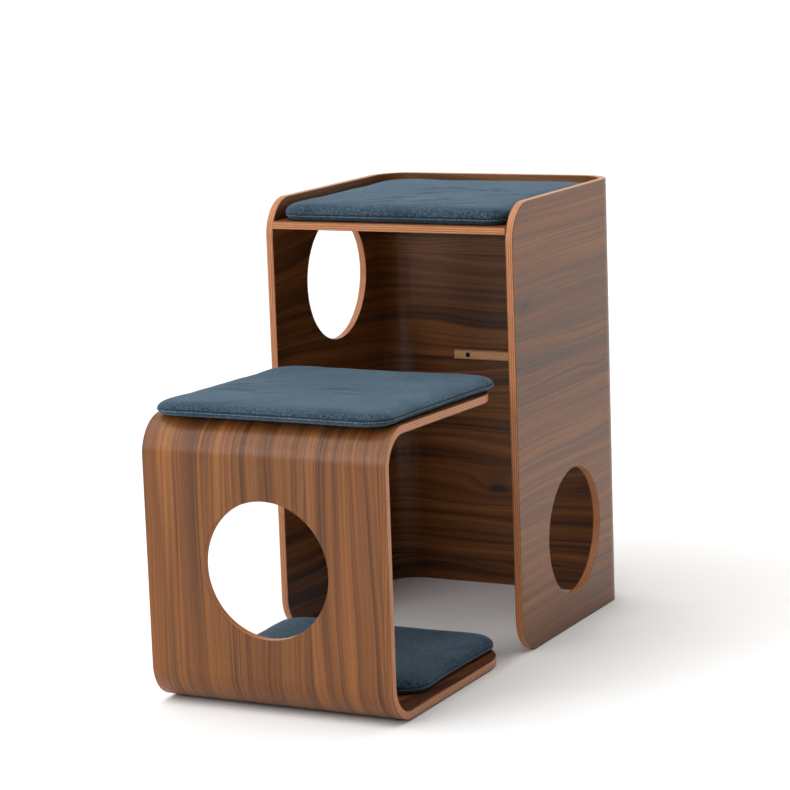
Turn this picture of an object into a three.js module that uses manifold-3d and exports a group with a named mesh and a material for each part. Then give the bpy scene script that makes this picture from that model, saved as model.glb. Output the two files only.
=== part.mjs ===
// A two-piece cat tree in moulded plywood: a tall U-shaped tower with a cushioned shelf, and a
// C-shaped step that stands in front of it and slides in between its sides.
// Millimetres, +Z up, +Y to the back. The origin is on the floor, midway across and midway deep.

import * as THREE from 'three';
import { mergeVertices } from 'three/addons/utils/BufferGeometryUtils.js';
import Module from 'manifold-3d';

const wasm = await Module();
wasm.setup();
const { Manifold, Mesh: SolidMesh } = wasm;

// ---- Driving dimensions ------------------------------------------------------------------------

// Moulded plywood, shared by both units
const PLY = 12;                    // panel thickness
const BEND_RADIUS = 58;            // outside radius of every moulded bend
const HOLE_DIAMETER = 204;         // round doorways for the cat
const MESH_GAP = 0.3;              // glue line left between parts that touch

// Tower
const TOWER_WIDTH = 424;
const TOWER_DEPTH = 415;
const TOWER_HEIGHT = 700;
const TOWER_CORNER_RADIUS = 58;    // front corners of the sides, top and bottom
const RIM_HEIGHT = 34;             // sides and back above the shelf
const RIGHT_SILL = 52;             // floor to the lower edge of the right side's doorway
const LEFT_LINTEL = 3;             // upper edge of the left side's doorway to the shelf's underside
const SIDE_HOLE_SHIFT = 2.5;       // both doorways sit this far behind the middle of the sides

// Dowels that hold the shelf
const DOWEL_DIAMETER = 6;
const DOWEL_LENGTH = 30;
const DOWEL_CLEARANCE = 0.15;      // all round
const DOWEL_CHAMFER = 0.8;
const DOWEL_SOCKET = 8;            // blind depth in the tower's 12 mm wall
const DOWEL_END_INSET = 60;        // first and last side dowel from the shelf's ends
const BACK_DOWEL_SPACING = 220;

// Cleat on the back, and its screws
const CLEAT_LENGTH = 158;
const CLEAT_SECTION = 15;
const CLEAT_CLEARANCE = 5.67;      // under the step's top panel when the step is put away
const CLEAT_ARRIS = 1.5;
const SCREW_INSET = 26;            // from each end of the cleat
const SCREW_LENGTH = 24;
const SCREW_SHANK = 3.6;
const SCREW_HEAD = 8.4;
const SCREW_HEAD_DEPTH = 3.2;
const SCREW_POINT = 5;
const SCREW_CLEARANCE = 0.2;
const SCREW_SLOT = [1.1, 4.6, 1.6]; // cross recess: blade width, span, depth

// Step
const STEP_SIDE_CLEARANCE = 1.5;   // each side, between the tower's sides
const STEP_DEPTH = 415;
const STEP_HEIGHT = 428;           // without its pads
const STEP_REAR_RADIUS = 90;       // rounded rear corners, seen from above
const STEP_TOP_DROOP = 1.5;        // degrees that the free top panel hangs down to the rear
const UNIT_GAP = 2;                // step to tower, as it stands

// Felt pads under the step
const PAD_DIAMETER = 20;
const PAD_THICKNESS = 3;
const PAD_SIDE_INSET = 20;
const PAD_FRONT_SETBACK = 60;
const PAD_REAR_INSET = 40;

// Cushions
const CUSHION_THICKNESS = 22;
const CUSHION_EDGE = 8;            // rounding of the long edges
const COVER_THICKNESS = 1;
const CUSHION_LIFT = 0.5;          // nap of the fabric between a cushion and the panel under it
const ZIP_LENGTH = 240;
const ZIP_SLIT = 4;
const ZIP_SLIDER = [9, 1.5];       // length, how far it stands proud
const SHELF_CUSHION = { side: 5, front: 6, back: 5, ease: 4 }; // ease: rounder than the bend it fits
const STEP_TOP_CUSHION = { side: 5, front: 6, back: 4, corner: 54 };
const STEP_LOWER_CUSHION = { left: 2.5, right: 18.5, front: 112, back: 3, corner: 54 };

// ---- Sizes that follow -------------------------------------------------------------------------

const INNER_RADIUS = BEND_RADIUS - PLY;
const TOWER_INNER_WIDTH = TOWER_WIDTH - 2 * PLY;
const TOWER_INNER_DEPTH = TOWER_DEPTH - PLY;
const SHELF_TOP = TOWER_HEIGHT - RIM_HEIGHT;
const STEP_WIDTH = TOWER_INNER_WIDTH - 2 * STEP_SIDE_CLEARANCE;
const OVERALL_DEPTH = STEP_DEPTH + UNIT_GAP + TOWER_DEPTH;
const TOWER_FRONT_Y = OVERALL_DEPTH / 2 - TOWER_DEPTH;
const STEP_FRONT_Y = -OVERALL_DEPTH / 2;
const DROOP = THREE.MathUtils.degToRad(STEP_TOP_DROOP);

// The step's top panel: its flat length behind the bend, and the height of its rear edge
const TOP_RUN = (STEP_DEPTH - BEND_RADIUS * (1 + Math.sin(DROOP))) / Math.cos(DROOP);
const TOP_REAR_Z = STEP_HEIGHT - BEND_RADIUS * (1 - Math.cos(DROOP)) - TOP_RUN * Math.sin(DROOP);

// ---- Materials ---------------------------------------------------------------------------------

const finish = (color, roughness, metalness = 0) =>
  () => new THREE.MeshStandardMaterial({ color, roughness, metalness });
const walnutPly = finish(0x7d5238, 0.45);
const lightWood = finish(0xa9794c, 0.6);
const blackScrew = finish(0x1b1a19, 0.4, 0.8);
const blueFelt = finish(0x3f5468, 0.95);
const paleFoam = finish(0xe8e2c8, 0.9);
const zipTape = finish(0x2b3946, 0.6);
const greyFelt = finish(0x4a4540, 0.95);

// ---- Solids ------------------------------------------------------------------------------------

function toSolid(geometry) {
  const bare = geometry.clone();
  for (const name of Object.keys(bare.attributes)) {
    if (name !== 'position') bare.deleteAttribute(name);
  }
  const merged = mergeVertices(bare, 1e-4);
  return new Manifold(new SolidMesh({
    numProp: 3,
    vertProperties: new Float32Array(merged.attributes.position.array),
    triVerts: new Uint32Array(merged.index.array),
  }));
}

function toGeometry(solid) {
  const mesh = solid.getMesh();
  const geometry = new THREE.BufferGeometry();
  geometry.setAttribute('position', new THREE.BufferAttribute(mesh.vertProperties, 3));
  geometry.setIndex(new THREE.BufferAttribute(mesh.triVerts, 1));
  return geometry.toNonIndexed();
}

function named(name, geometry, material) {
  geometry.computeVertexNormals();
  const mesh = new THREE.Mesh(geometry, material());
  mesh.name = name;
  return mesh;
}

// A shape drawn in Y and Z, run across from x0 to x1
function acrossX(shape, x0, x1, curveSegments = 14) {
  const flat = { depth: x1 - x0, bevelEnabled: false, curveSegments };
  const geometry = new THREE.ExtrudeGeometry(shape, flat).translate(0, 0, x0);
  const axes = [new THREE.Vector3(0, 1, 0), new THREE.Vector3(0, 0, 1), new THREE.Vector3(1, 0, 0)];
  return geometry.applyMatrix4(new THREE.Matrix4().makeBasis(...axes));
}

// A shape drawn in X and Y, run up from z0 to z1
function upZ(shape, z0, z1, curveSegments = 14) {
  const flat = { depth: z1 - z0, bevelEnabled: false, curveSegments };
  return new THREE.ExtrudeGeometry(shape, flat).translate(0, 0, z0);
}

// A cylinder whose axis runs along X or Y, centred on a point
function drill(axis, radius, length, x, y, z, segments = 16) {
  const geometry = new THREE.CylinderGeometry(radius, radius, length, segments);
  if (axis === 'x') geometry.rotateZ(-Math.PI / 2);
  return toSolid(geometry.translate(x, y, z));
}

// A rectangle in plan with its own radius at the front and the rear corners
function plate(halfWidth, front, back, frontRadius, rearRadius) {
  const shape = new THREE.Shape();
  shape.moveTo(-halfWidth + frontRadius, front);
  shape.lineTo(halfWidth - frontRadius, front);
  if (frontRadius) shape.absarc(halfWidth - frontRadius, front + frontRadius, frontRadius, -Math.PI / 2, 0);
  shape.lineTo(halfWidth, back - rearRadius);
  shape.absarc(halfWidth - rearRadius, back - rearRadius, rearRadius, 0, Math.PI / 2);
  shape.lineTo(-halfWidth + rearRadius, back);
  shape.absarc(-halfWidth + rearRadius, back - rearRadius, rearRadius, Math.PI / 2, Math.PI);
  shape.lineTo(-halfWidth, front + frontRadius);
  if (frontRadius) {
    shape.absarc(-halfWidth + frontRadius, front + frontRadius, frontRadius, Math.PI, Math.PI * 1.5);
  }
  return shape;
}

// ---- Tower: places shared by the shell, the shelf and the dowels ----------------------------------

// Each dowel: its name, its axis, and the point on its axis at the shelf's edge
function shelfDowels() {
  const z = SHELF_TOP - PLY / 2;
  const list = [];
  const rows = {
    front: DOWEL_END_INSET,
    middle: TOWER_INNER_DEPTH / 2,
    rear: TOWER_INNER_DEPTH - DOWEL_END_INSET,
  };
  for (const [side, sign] of [['left', -1], ['right', 1]]) {
    const x = sign * TOWER_INNER_WIDTH / 2;
    for (const [row, y] of Object.entries(rows)) {
      list.push({ name: `shelf_dowel_${side}_${row}`, axis: 'x', sign, x, y, z });
    }
  }
  for (const [side, sign] of [['left', -1], ['right', 1]]) {
    const x = sign * BACK_DOWEL_SPACING / 2;
    list.push({ name: `shelf_dowel_back_${side}`, axis: 'y', sign: 1, x, y: TOWER_INNER_DEPTH, z });
  }
  return list;
}

// Blind hole for a dowel: DOWEL_SOCKET deep in the wall, the rest of the dowel's length in the shelf
function dowelHole(dowel, clearance) {
  const out = DOWEL_SOCKET;
  const into = DOWEL_LENGTH - DOWEL_SOCKET + clearance * 2;
  const middle = dowel.sign * (out - into) / 2;
  const x = dowel.x + (dowel.axis === 'x' ? middle : 0);
  const y = dowel.y + (dowel.axis === 'y' ? middle : 0);
  return drill(dowel.axis, DOWEL_DIAMETER / 2 + clearance, out + into, x, y, dowel.z);
}

const cleatScrewXs = () => [-1, 1].map((sign) => sign * (CLEAT_LENGTH / 2 - SCREW_INSET));
const CLEAT_TOP = PAD_THICKNESS + TOP_REAR_Z - PLY * Math.cos(DROOP) - CLEAT_CLEARANCE;
const CLEAT_MID_Z = CLEAT_TOP - CLEAT_SECTION / 2;
const CLEAT_BACK_Y = TOWER_INNER_DEPTH - MESH_GAP;
const CLEAT_FRONT_Y = CLEAT_BACK_Y - CLEAT_SECTION;

// Countersunk screw outline, grown all round by a clearance, its head flush with y = 0
function screwOutline(grow) {
  const shank = SCREW_SHANK / 2 + grow;
  const head = SCREW_HEAD / 2 + grow;
  return [
    new THREE.Vector2(0, 0),
    new THREE.Vector2(head, 0),
    new THREE.Vector2(shank, SCREW_HEAD_DEPTH + grow),
    new THREE.Vector2(shank, SCREW_LENGTH - SCREW_POINT + grow),
    new THREE.Vector2(0, SCREW_LENGTH + grow),
  ];
}

function screwSolid(grow, x) {
  // The lathe turns about Y, so the screw already points to the back
  const body = new THREE.LatheGeometry(screwOutline(grow), 14);
  return toSolid(body.translate(x, CLEAT_FRONT_Y, CLEAT_MID_Z));
}

// ---- Tower -------------------------------------------------------------------------------------

function towerShell() {
  const half = TOWER_WIDTH / 2;
  const turn = TOWER_DEPTH - BEND_RADIUS;
  const centre = half - BEND_RADIUS;
  const plan = new THREE.Shape();
  plan.moveTo(half, 0);
  plan.lineTo(half, turn);
  plan.absarc(centre, turn, BEND_RADIUS, 0, Math.PI / 2);
  plan.lineTo(-centre, TOWER_DEPTH);
  plan.absarc(-centre, turn, BEND_RADIUS, Math.PI / 2, Math.PI);
  plan.lineTo(-half, 0);
  plan.lineTo(-half + PLY, 0);
  plan.lineTo(-half + PLY, turn);
  plan.absarc(-centre, turn, INNER_RADIUS, Math.PI, Math.PI / 2, true);
  plan.lineTo(centre, TOWER_DEPTH - PLY);
  plan.absarc(centre, turn, INNER_RADIUS, Math.PI / 2, 0, true);
  plan.lineTo(half - PLY, 0);

  const corner = TOWER_CORNER_RADIUS;
  const beyond = TOWER_DEPTH + PLY;
  const side = new THREE.Shape();
  side.moveTo(corner, 0);
  side.lineTo(beyond, 0);
  side.lineTo(beyond, TOWER_HEIGHT);
  side.lineTo(corner, TOWER_HEIGHT);
  side.absarc(corner, TOWER_HEIGHT - corner, corner, Math.PI / 2, Math.PI);
  side.lineTo(0, corner);
  side.absarc(corner, corner, corner, Math.PI, Math.PI * 1.5);

  const bent = toSolid(upZ(plan, -PLY, TOWER_HEIGHT + PLY));
  let shell = bent.intersect(toSolid(acrossX(side, -TOWER_WIDTH, TOWER_WIDTH)));
  const radius = HOLE_DIAMETER / 2;
  const middle = TOWER_DEPTH / 2 + SIDE_HOLE_SHIFT;
  const doorway = (x, z) => drill('x', radius, TOWER_INNER_WIDTH / 2, x, middle, z, 60);
  shell = shell.subtract(doorway(half, RIGHT_SILL + radius));
  shell = shell.subtract(doorway(-half, SHELF_TOP - PLY - LEFT_LINTEL - radius));
  for (const dowel of shelfDowels()) shell = shell.subtract(dowelHole(dowel, DOWEL_CLEARANCE));
  for (const x of cleatScrewXs()) shell = shell.subtract(screwSolid(SCREW_CLEARANCE, x));
  return named('tower_shell', toGeometry(shell), walnutPly);
}

function towerShelf() {
  const half = TOWER_INNER_WIDTH / 2 - MESH_GAP;
  const outline = plate(half, 0, TOWER_INNER_DEPTH - MESH_GAP, 0, INNER_RADIUS - MESH_GAP);
  let shelf = toSolid(upZ(outline, SHELF_TOP - PLY, SHELF_TOP));
  for (const dowel of shelfDowels()) shelf = shelf.subtract(dowelHole(dowel, DOWEL_CLEARANCE));
  return named('tower_shelf', toGeometry(shelf), walnutPly);
}

// A dowel with chamfered ends, clear of the bottom of its socket
function shelfDowel(dowel) {
  const radius = DOWEL_DIAMETER / 2;
  const outer = dowel.sign * (DOWEL_SOCKET - MESH_GAP);
  const half = (DOWEL_LENGTH - MESH_GAP) / 2;
  const neck = radius - DOWEL_CHAMFER;
  const profile = [[0, -half], [neck, -half], [radius, DOWEL_CHAMFER - half],
    [radius, half - DOWEL_CHAMFER], [neck, half], [0, half]];
  const geometry = new THREE.LatheGeometry(profile.map(([r, y]) => new THREE.Vector2(r, y)), 12);
  if (dowel.axis === 'x') geometry.rotateZ(-Math.PI / 2);
  const mesh = named(dowel.name, geometry, lightWood);
  mesh.position.set(dowel.x, dowel.y, dowel.z);
  mesh.position[dowel.axis] += outer - dowel.sign * half;
  return mesh;
}

function backCleat() {
  const inner = { w: CLEAT_LENGTH / 2 - CLEAT_ARRIS, h: CLEAT_SECTION / 2 - CLEAT_ARRIS };
  const face = new THREE.Shape();
  face.moveTo(-inner.w, -inner.h);
  face.lineTo(inner.w, -inner.h);
  face.lineTo(inner.w, inner.h);
  face.lineTo(-inner.w, inner.h);
  const bevel = { bevelSize: CLEAT_ARRIS, bevelThickness: CLEAT_ARRIS, bevelSegments: 1 };
  const geometry = new THREE.ExtrudeGeometry(face, { depth: CLEAT_SECTION - 2 * CLEAT_ARRIS, ...bevel });
  geometry.translate(0, 0, CLEAT_ARRIS);
  geometry.rotateX(Math.PI / 2);
  geometry.translate(0, CLEAT_BACK_Y, CLEAT_MID_Z);
  let cleat = toSolid(geometry);
  for (const x of cleatScrewXs()) cleat = cleat.subtract(screwSolid(SCREW_CLEARANCE, x));
  return named('back_cleat', toGeometry(cleat), lightWood);
}

function cleatScrew(name, x) {
  const [blade, span, depth] = SCREW_SLOT;
  let screw = screwSolid(0, x);
  for (const [w, h] of [[blade, span], [span, blade]]) {
    const recess = new THREE.BoxGeometry(w, depth * 2, h).translate(x, CLEAT_FRONT_Y, CLEAT_MID_Z);
    screw = screw.subtract(toSolid(recess));
  }
  return named(name, toGeometry(screw), blackScrew);
}

// ---- Step --------------------------------------------------------------------------------------

function stepShell() {
  const R = BEND_RADIUS;
  const r = INNER_RADIUS;
  const H = STEP_HEIGHT;
  const side = new THREE.Shape();
  side.moveTo(STEP_DEPTH, 0);
  side.lineTo(STEP_DEPTH, PLY);
  side.lineTo(R, PLY);
  side.absarc(R, R, r, -Math.PI / 2, -Math.PI, true);
  side.lineTo(PLY, H - R);
  side.absarc(R, H - R, r, Math.PI, Math.PI / 2 - DROOP, true);
  side.lineTo(STEP_DEPTH - PLY * Math.sin(DROOP), TOP_REAR_Z - PLY * Math.cos(DROOP));
  side.lineTo(STEP_DEPTH, TOP_REAR_Z);
  side.lineTo(R + R * Math.sin(DROOP), H - R + R * Math.cos(DROOP));
  side.absarc(R, H - R, R, Math.PI / 2 - DROOP, Math.PI);
  side.lineTo(0, R);
  side.absarc(R, R, R, Math.PI, Math.PI * 1.5);

  const outline = plate(STEP_WIDTH / 2, -PLY, STEP_DEPTH, 0, STEP_REAR_RADIUS);
  const bent = toSolid(acrossX(side, -STEP_WIDTH, STEP_WIDTH));
  let shell = bent.intersect(toSolid(upZ(outline, -PLY, H + PLY)));
  shell = shell.subtract(drill('y', HOLE_DIAMETER / 2, PLY * 3, 0, PLY / 2, H / 2, 60));
  return named('step_shell', toGeometry(shell), walnutPly);
}

function stepPad(name, x, y) {
  const height = PAD_THICKNESS - MESH_GAP;
  const geometry = new THREE.CylinderGeometry(PAD_DIAMETER / 2, PAD_DIAMETER / 2, height, 18);
  const pad = named(name, geometry.rotateX(Math.PI / 2), greyFelt);
  pad.position.set(x, y, height / 2);
  return pad;
}

function stepPads() {
  const frontX = STEP_WIDTH / 2 - PAD_SIDE_INSET;
  const rearX = STEP_WIDTH / 2 - PAD_REAR_INSET;
  const rearY = STEP_DEPTH - PAD_REAR_INSET;
  return [
    stepPad('step_pad_front_left', -frontX, PAD_FRONT_SETBACK),
    stepPad('step_pad_front_right', frontX, PAD_FRONT_SETBACK),
    stepPad('step_pad_rear_left', -rearX, rearY),
    stepPad('step_pad_rear_right', rearX, rearY),
  ];
}

// ---- Cushions ----------------------------------------------------------------------------------

// A flat block with rounded corners and rolled edges, its underside on z = inset
function cushionForm(width, depth, corner, inset) {
  const edge = CUSHION_EDGE - inset;
  const reach = inset + edge;
  const round = corner - reach;
  const outline = plate(width / 2 - reach, -depth / 2 + reach, depth / 2 - reach, round, round);
  const height = CUSHION_THICKNESS - 2 * reach;
  const bevel = { bevelSize: edge, bevelThickness: edge, bevelSegments: 2 };
  const geometry = new THREE.ExtrudeGeometry(outline, { depth: height, curveSegments: 5, ...bevel });
  return geometry.translate(0, 0, reach);
}

// Cover, foam and zip, centred on their own group with the underside at z = 0
function cushion(name, width, depth, corner) {
  const group = new THREE.Group();
  const mid = CUSHION_THICKNESS / 2;
  let cover = toSolid(cushionForm(width, depth, corner, 0));
  cover = cover.subtract(toSolid(cushionForm(width, depth, corner, COVER_THICKNESS)));
  const slit = new THREE.BoxGeometry(ZIP_LENGTH, COVER_THICKNESS * 3, ZIP_SLIT);
  cover = cover.subtract(toSolid(slit.translate(0, depth / 2 - COVER_THICKNESS / 2, mid)));
  group.add(named(`${name}_cover`, toGeometry(cover), blueFelt));

  group.add(named(`${name}_foam`, cushionForm(width, depth, corner, COVER_THICKNESS + MESH_GAP), paleFoam));

  const [sliderLength, proud] = ZIP_SLIDER;
  const tall = ZIP_SLIT - 2 * MESH_GAP;
  const long = ZIP_LENGTH - 2 * MESH_GAP;
  const tape = new THREE.BoxGeometry(long, COVER_THICKNESS, tall);
  const slider = new THREE.BoxGeometry(sliderLength, COVER_THICKNESS + proud, tall - MESH_GAP);
  slider.translate((long - sliderLength) / 2 - sliderLength, proud / 2, 0);
  const zip = toSolid(tape).add(toSolid(slider));
  const zipMesh = named(`${name}_zip`, toGeometry(zip), zipTape);
  zipMesh.position.set(0, (depth - COVER_THICKNESS) / 2, mid);
  group.add(zipMesh);
  return group;
}

// ---- The whole cat tree ------------------------------------------------------------------------

function tower() {
  const group = new THREE.Group();
  group.position.y = TOWER_FRONT_Y;
  group.add(towerShell(), towerShelf(), ...shelfDowels().map(shelfDowel), backCleat());
  const [left, right] = cleatScrewXs();
  group.add(cleatScrew('cleat_screw_left', left), cleatScrew('cleat_screw_right', right));

  const { side, front, back, ease } = SHELF_CUSHION;
  const depth = TOWER_INNER_DEPTH - front - back;
  const corner = INNER_RADIUS - side + ease;
  const pad = cushion('shelf_cushion', TOWER_INNER_WIDTH - 2 * side, depth, corner);
  pad.position.set(0, front + depth / 2, SHELF_TOP + CUSHION_LIFT);
  group.add(pad);
  return group;
}

function step() {
  const group = new THREE.Group();
  group.position.y = STEP_FRONT_Y;
  const raised = new THREE.Group();
  raised.position.z = PAD_THICKNESS;
  raised.add(stepShell());
  group.add(raised, ...stepPads());

  // The top cushion lies along the drooping panel
  const top = STEP_TOP_CUSHION;
  const topDepth = STEP_DEPTH - top.front - top.back;
  const topCushion = cushion('step_top_cushion', STEP_WIDTH - 2 * top.side, topDepth, top.corner);
  const slope = new THREE.Group();
  slope.rotation.x = -DROOP;
  slope.position.set(0, BEND_RADIUS, STEP_HEIGHT - BEND_RADIUS);
  topCushion.position.set(0, top.front + topDepth / 2 - BEND_RADIUS, BEND_RADIUS + CUSHION_LIFT);
  slope.add(topCushion);
  raised.add(slope);

  const low = STEP_LOWER_CUSHION;
  const lowDepth = STEP_DEPTH - low.front - low.back;
  const lowCushion = cushion('step_lower_cushion', STEP_WIDTH - low.left - low.right, lowDepth, low.corner);
  const lowX = (low.left - low.right) / 2;
  lowCushion.position.set(lowX, STEP_DEPTH - low.back - lowDepth / 2, PLY + CUSHION_LIFT);
  raised.add(lowCushion);
  return group;
}

const catTree = new THREE.Group();
catTree.add(tower(), step());

export default catTree;
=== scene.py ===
"""A cat tree in moulded walnut plywood: a tall tower with a cushioned tray on top, and a low C-shaped
step with two more cushions, which slides in between the tower's sides. Metres, +Z up, +Y to the back."""

import math
import random

import bmesh
import bpy
from mathutils import Matrix, Vector, geometry, noise


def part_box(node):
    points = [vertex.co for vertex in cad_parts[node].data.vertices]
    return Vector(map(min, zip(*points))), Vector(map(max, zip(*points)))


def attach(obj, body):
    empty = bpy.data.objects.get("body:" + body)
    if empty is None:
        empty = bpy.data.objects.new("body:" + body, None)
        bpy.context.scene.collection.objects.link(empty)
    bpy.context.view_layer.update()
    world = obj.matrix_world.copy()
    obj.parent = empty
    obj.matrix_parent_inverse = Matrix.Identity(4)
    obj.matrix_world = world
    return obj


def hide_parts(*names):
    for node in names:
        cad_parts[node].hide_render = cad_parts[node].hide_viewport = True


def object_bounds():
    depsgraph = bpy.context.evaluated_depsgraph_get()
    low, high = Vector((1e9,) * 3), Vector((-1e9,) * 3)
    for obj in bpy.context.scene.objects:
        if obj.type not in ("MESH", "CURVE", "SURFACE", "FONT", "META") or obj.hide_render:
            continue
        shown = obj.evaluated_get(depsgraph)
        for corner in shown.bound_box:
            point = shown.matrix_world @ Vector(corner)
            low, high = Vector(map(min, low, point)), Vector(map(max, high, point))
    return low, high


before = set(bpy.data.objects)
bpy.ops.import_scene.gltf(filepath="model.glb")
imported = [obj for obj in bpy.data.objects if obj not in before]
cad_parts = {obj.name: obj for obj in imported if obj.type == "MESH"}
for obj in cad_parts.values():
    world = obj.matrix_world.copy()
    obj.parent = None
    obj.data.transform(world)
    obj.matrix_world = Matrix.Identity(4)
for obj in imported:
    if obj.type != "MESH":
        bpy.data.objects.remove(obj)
cad_low, cad_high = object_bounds()

# ---- Studio ------------------------------------------------------------------------------------
# A pale floor without a horizon, under one very wide overhead light, a soft box in front and a
# surround that is bright behind, seen from the front right and a little above.

scene = bpy.context.scene
scene.view_settings.view_transform = "Standard"

VIEWPOINT = Vector((1.967, -3.836, 1.184))
LENS_MM = 128.8
HEADING, TILT, ROLL = (math.radians(angle) for angle in (27.08, -10.31, 2.03))

camera = bpy.data.objects.new("camera", bpy.data.cameras.new("camera"))
scene.collection.objects.link(camera)
camera.data.lens = LENS_MM
camera.matrix_world = (
    Matrix.Translation(VIEWPOINT)
    @ Matrix.Rotation(HEADING, 4, "Z")
    @ Matrix.Rotation(math.pi / 2 + TILT, 4, "X")
    @ Matrix.Rotation(-ROLL, 4, "Z")
)
scene.camera = camera

SURROUND_COLOUR = (1.0, 0.985, 0.965, 1.0)
SURROUND_LIGHT = (0.06, 1.15)       # in front of the object and behind it
SURROUND_TURN = (-0.2, 0.7)         # the directions along Y between which one turns to the other
world = bpy.data.worlds.new("surround")
world.use_nodes = True
sky = world.node_tree
toward = sky.nodes.new("ShaderNodeSeparateXYZ")
sky.links.new(sky.nodes.new("ShaderNodeTexCoord").outputs["Generated"], toward.inputs[0])
sky.nodes["Background"].inputs["Color"].default_value = SURROUND_COLOUR
shade = sky.nodes.new("ShaderNodeMapRange")
shade.interpolation_type = "SMOOTHSTEP"
shade.inputs["From Min"].default_value, shade.inputs["From Max"].default_value = SURROUND_TURN
shade.inputs["To Min"].default_value, shade.inputs["To Max"].default_value = SURROUND_LIGHT
sky.links.new(toward.outputs["Y"], shade.inputs["Value"])
sky.links.new(shade.outputs["Result"], sky.nodes["Background"].inputs["Strength"])
scene.world = world


def lamp(name, kind, power, place, aim, colour=(1.0, 1.0, 1.0), **sizes):
    """A light that stands at place and points at aim."""
    data = bpy.data.lights.new(name, kind)
    data.energy = power
    data.color = colour
    for size, value in sizes.items():
        setattr(data, size, value)
    light = bpy.data.objects.new(name, data)
    light.location = place
    light.rotation_mode = "QUATERNION"
    light.rotation_quaternion = (Vector(aim) - Vector(place)).to_track_quat("-Z", "Y")
    scene.collection.objects.link(light)


lamp("overhead", "SUN", 3.0, (-0.9, -1.1, 3.0), (0, 0, 0), angle=math.radians(70))
soft_box = {"shape": "RECTANGLE", "size": 1.6, "size_y": 1.2}
lamp("front_softbox", "AREA", 38, (-1.2, -3.2, 1.5), (0, 0, 0.35), **soft_box)

FLOOR_REACH = 60.0
floor_mesh = bpy.data.meshes.new("floor")
corners = ((-1, -1), (1, -1), (1, 1), (-1, 1))
places = [(x * FLOOR_REACH, y * FLOOR_REACH, cad_low.z) for x, y in corners]
floor_mesh.from_pydata(places, [], [(0, 1, 2, 3)])
floor = bpy.data.objects.new("floor", floor_mesh)
scene.collection.objects.link(floor)
pale = bpy.data.materials.new("pale_floor")
pale.use_nodes = True
pale.node_tree.nodes["Principled BSDF"].inputs["Base Color"].default_value = (0.88, 0.88, 0.88, 1.0)
pale.node_tree.nodes["Principled BSDF"].inputs["Roughness"].default_value = 0.9
floor_mesh.materials.append(pale)

# ---- Tower shell -------------------------------------------------------------------------------
# Walnut-faced plywood, cut flat with its two round doorways and its corners, then pressed round a
# former into a U. The cut edge shows the plies, and its arrises are eased by sanding.

PLY = 0.012
BEND_RADIUS = 0.058
DOORWAY_RADIUS = 0.102
TOWER_CORNER = 0.058
RIGHT_SILL = 0.052
LEFT_LINTEL = 0.003
DOORWAY_SHIFT = 0.0025

ARRIS = 0.0008
ARRIS_STEPS = 4
EDGE_BAND = 0.0015       # flat margin that keeps the face's shading apart from the arris
CORNER_STEPS = 18
HOLE_STEPS = 96
BEND_STEPS = 24
CHORD = 0.0001           # the doorways' rims are chords, this much short of round
WITHIN_RIM = 1           # has the triangulation leave out what lies beyond the rim


def rounded(low, high, radii, stations, inset):
    """Points round a rectangle with four corner radii, anticlockwise from the first corner, with a
    point at each station on its two long sides. Every inset gives the same number of points."""
    centres = [
        (low.x + radii[0], low.y + radii[0]),
        (high.x - radii[1], low.y + radii[1]),
        (high.x - radii[2], high.y - radii[2]),
        (low.x + radii[3], high.y - radii[3]),
    ]
    points = []
    for corner, (x, y) in enumerate(centres):
        radius = max(radii[corner] - inset, 0.0002)
        shift = radius - (radii[corner] - inset)
        toward = Vector((1 if corner in (0, 3) else -1, 1 if corner < 2 else -1)) * shift
        for step in range(CORNER_STEPS + 1):
            angle = math.pi * (1 + corner / 2) + math.pi / 2 * step / CORNER_STEPS
            points.append(Vector((x, y)) + toward + Vector((math.cos(angle), math.sin(angle))) * radius)
        if corner == 0:
            points += [Vector((s, low.y + inset)) for s in stations]
        if corner == 2:
            points += [Vector((s, high.y - inset)) for s in reversed(stations)]
    return points


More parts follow.
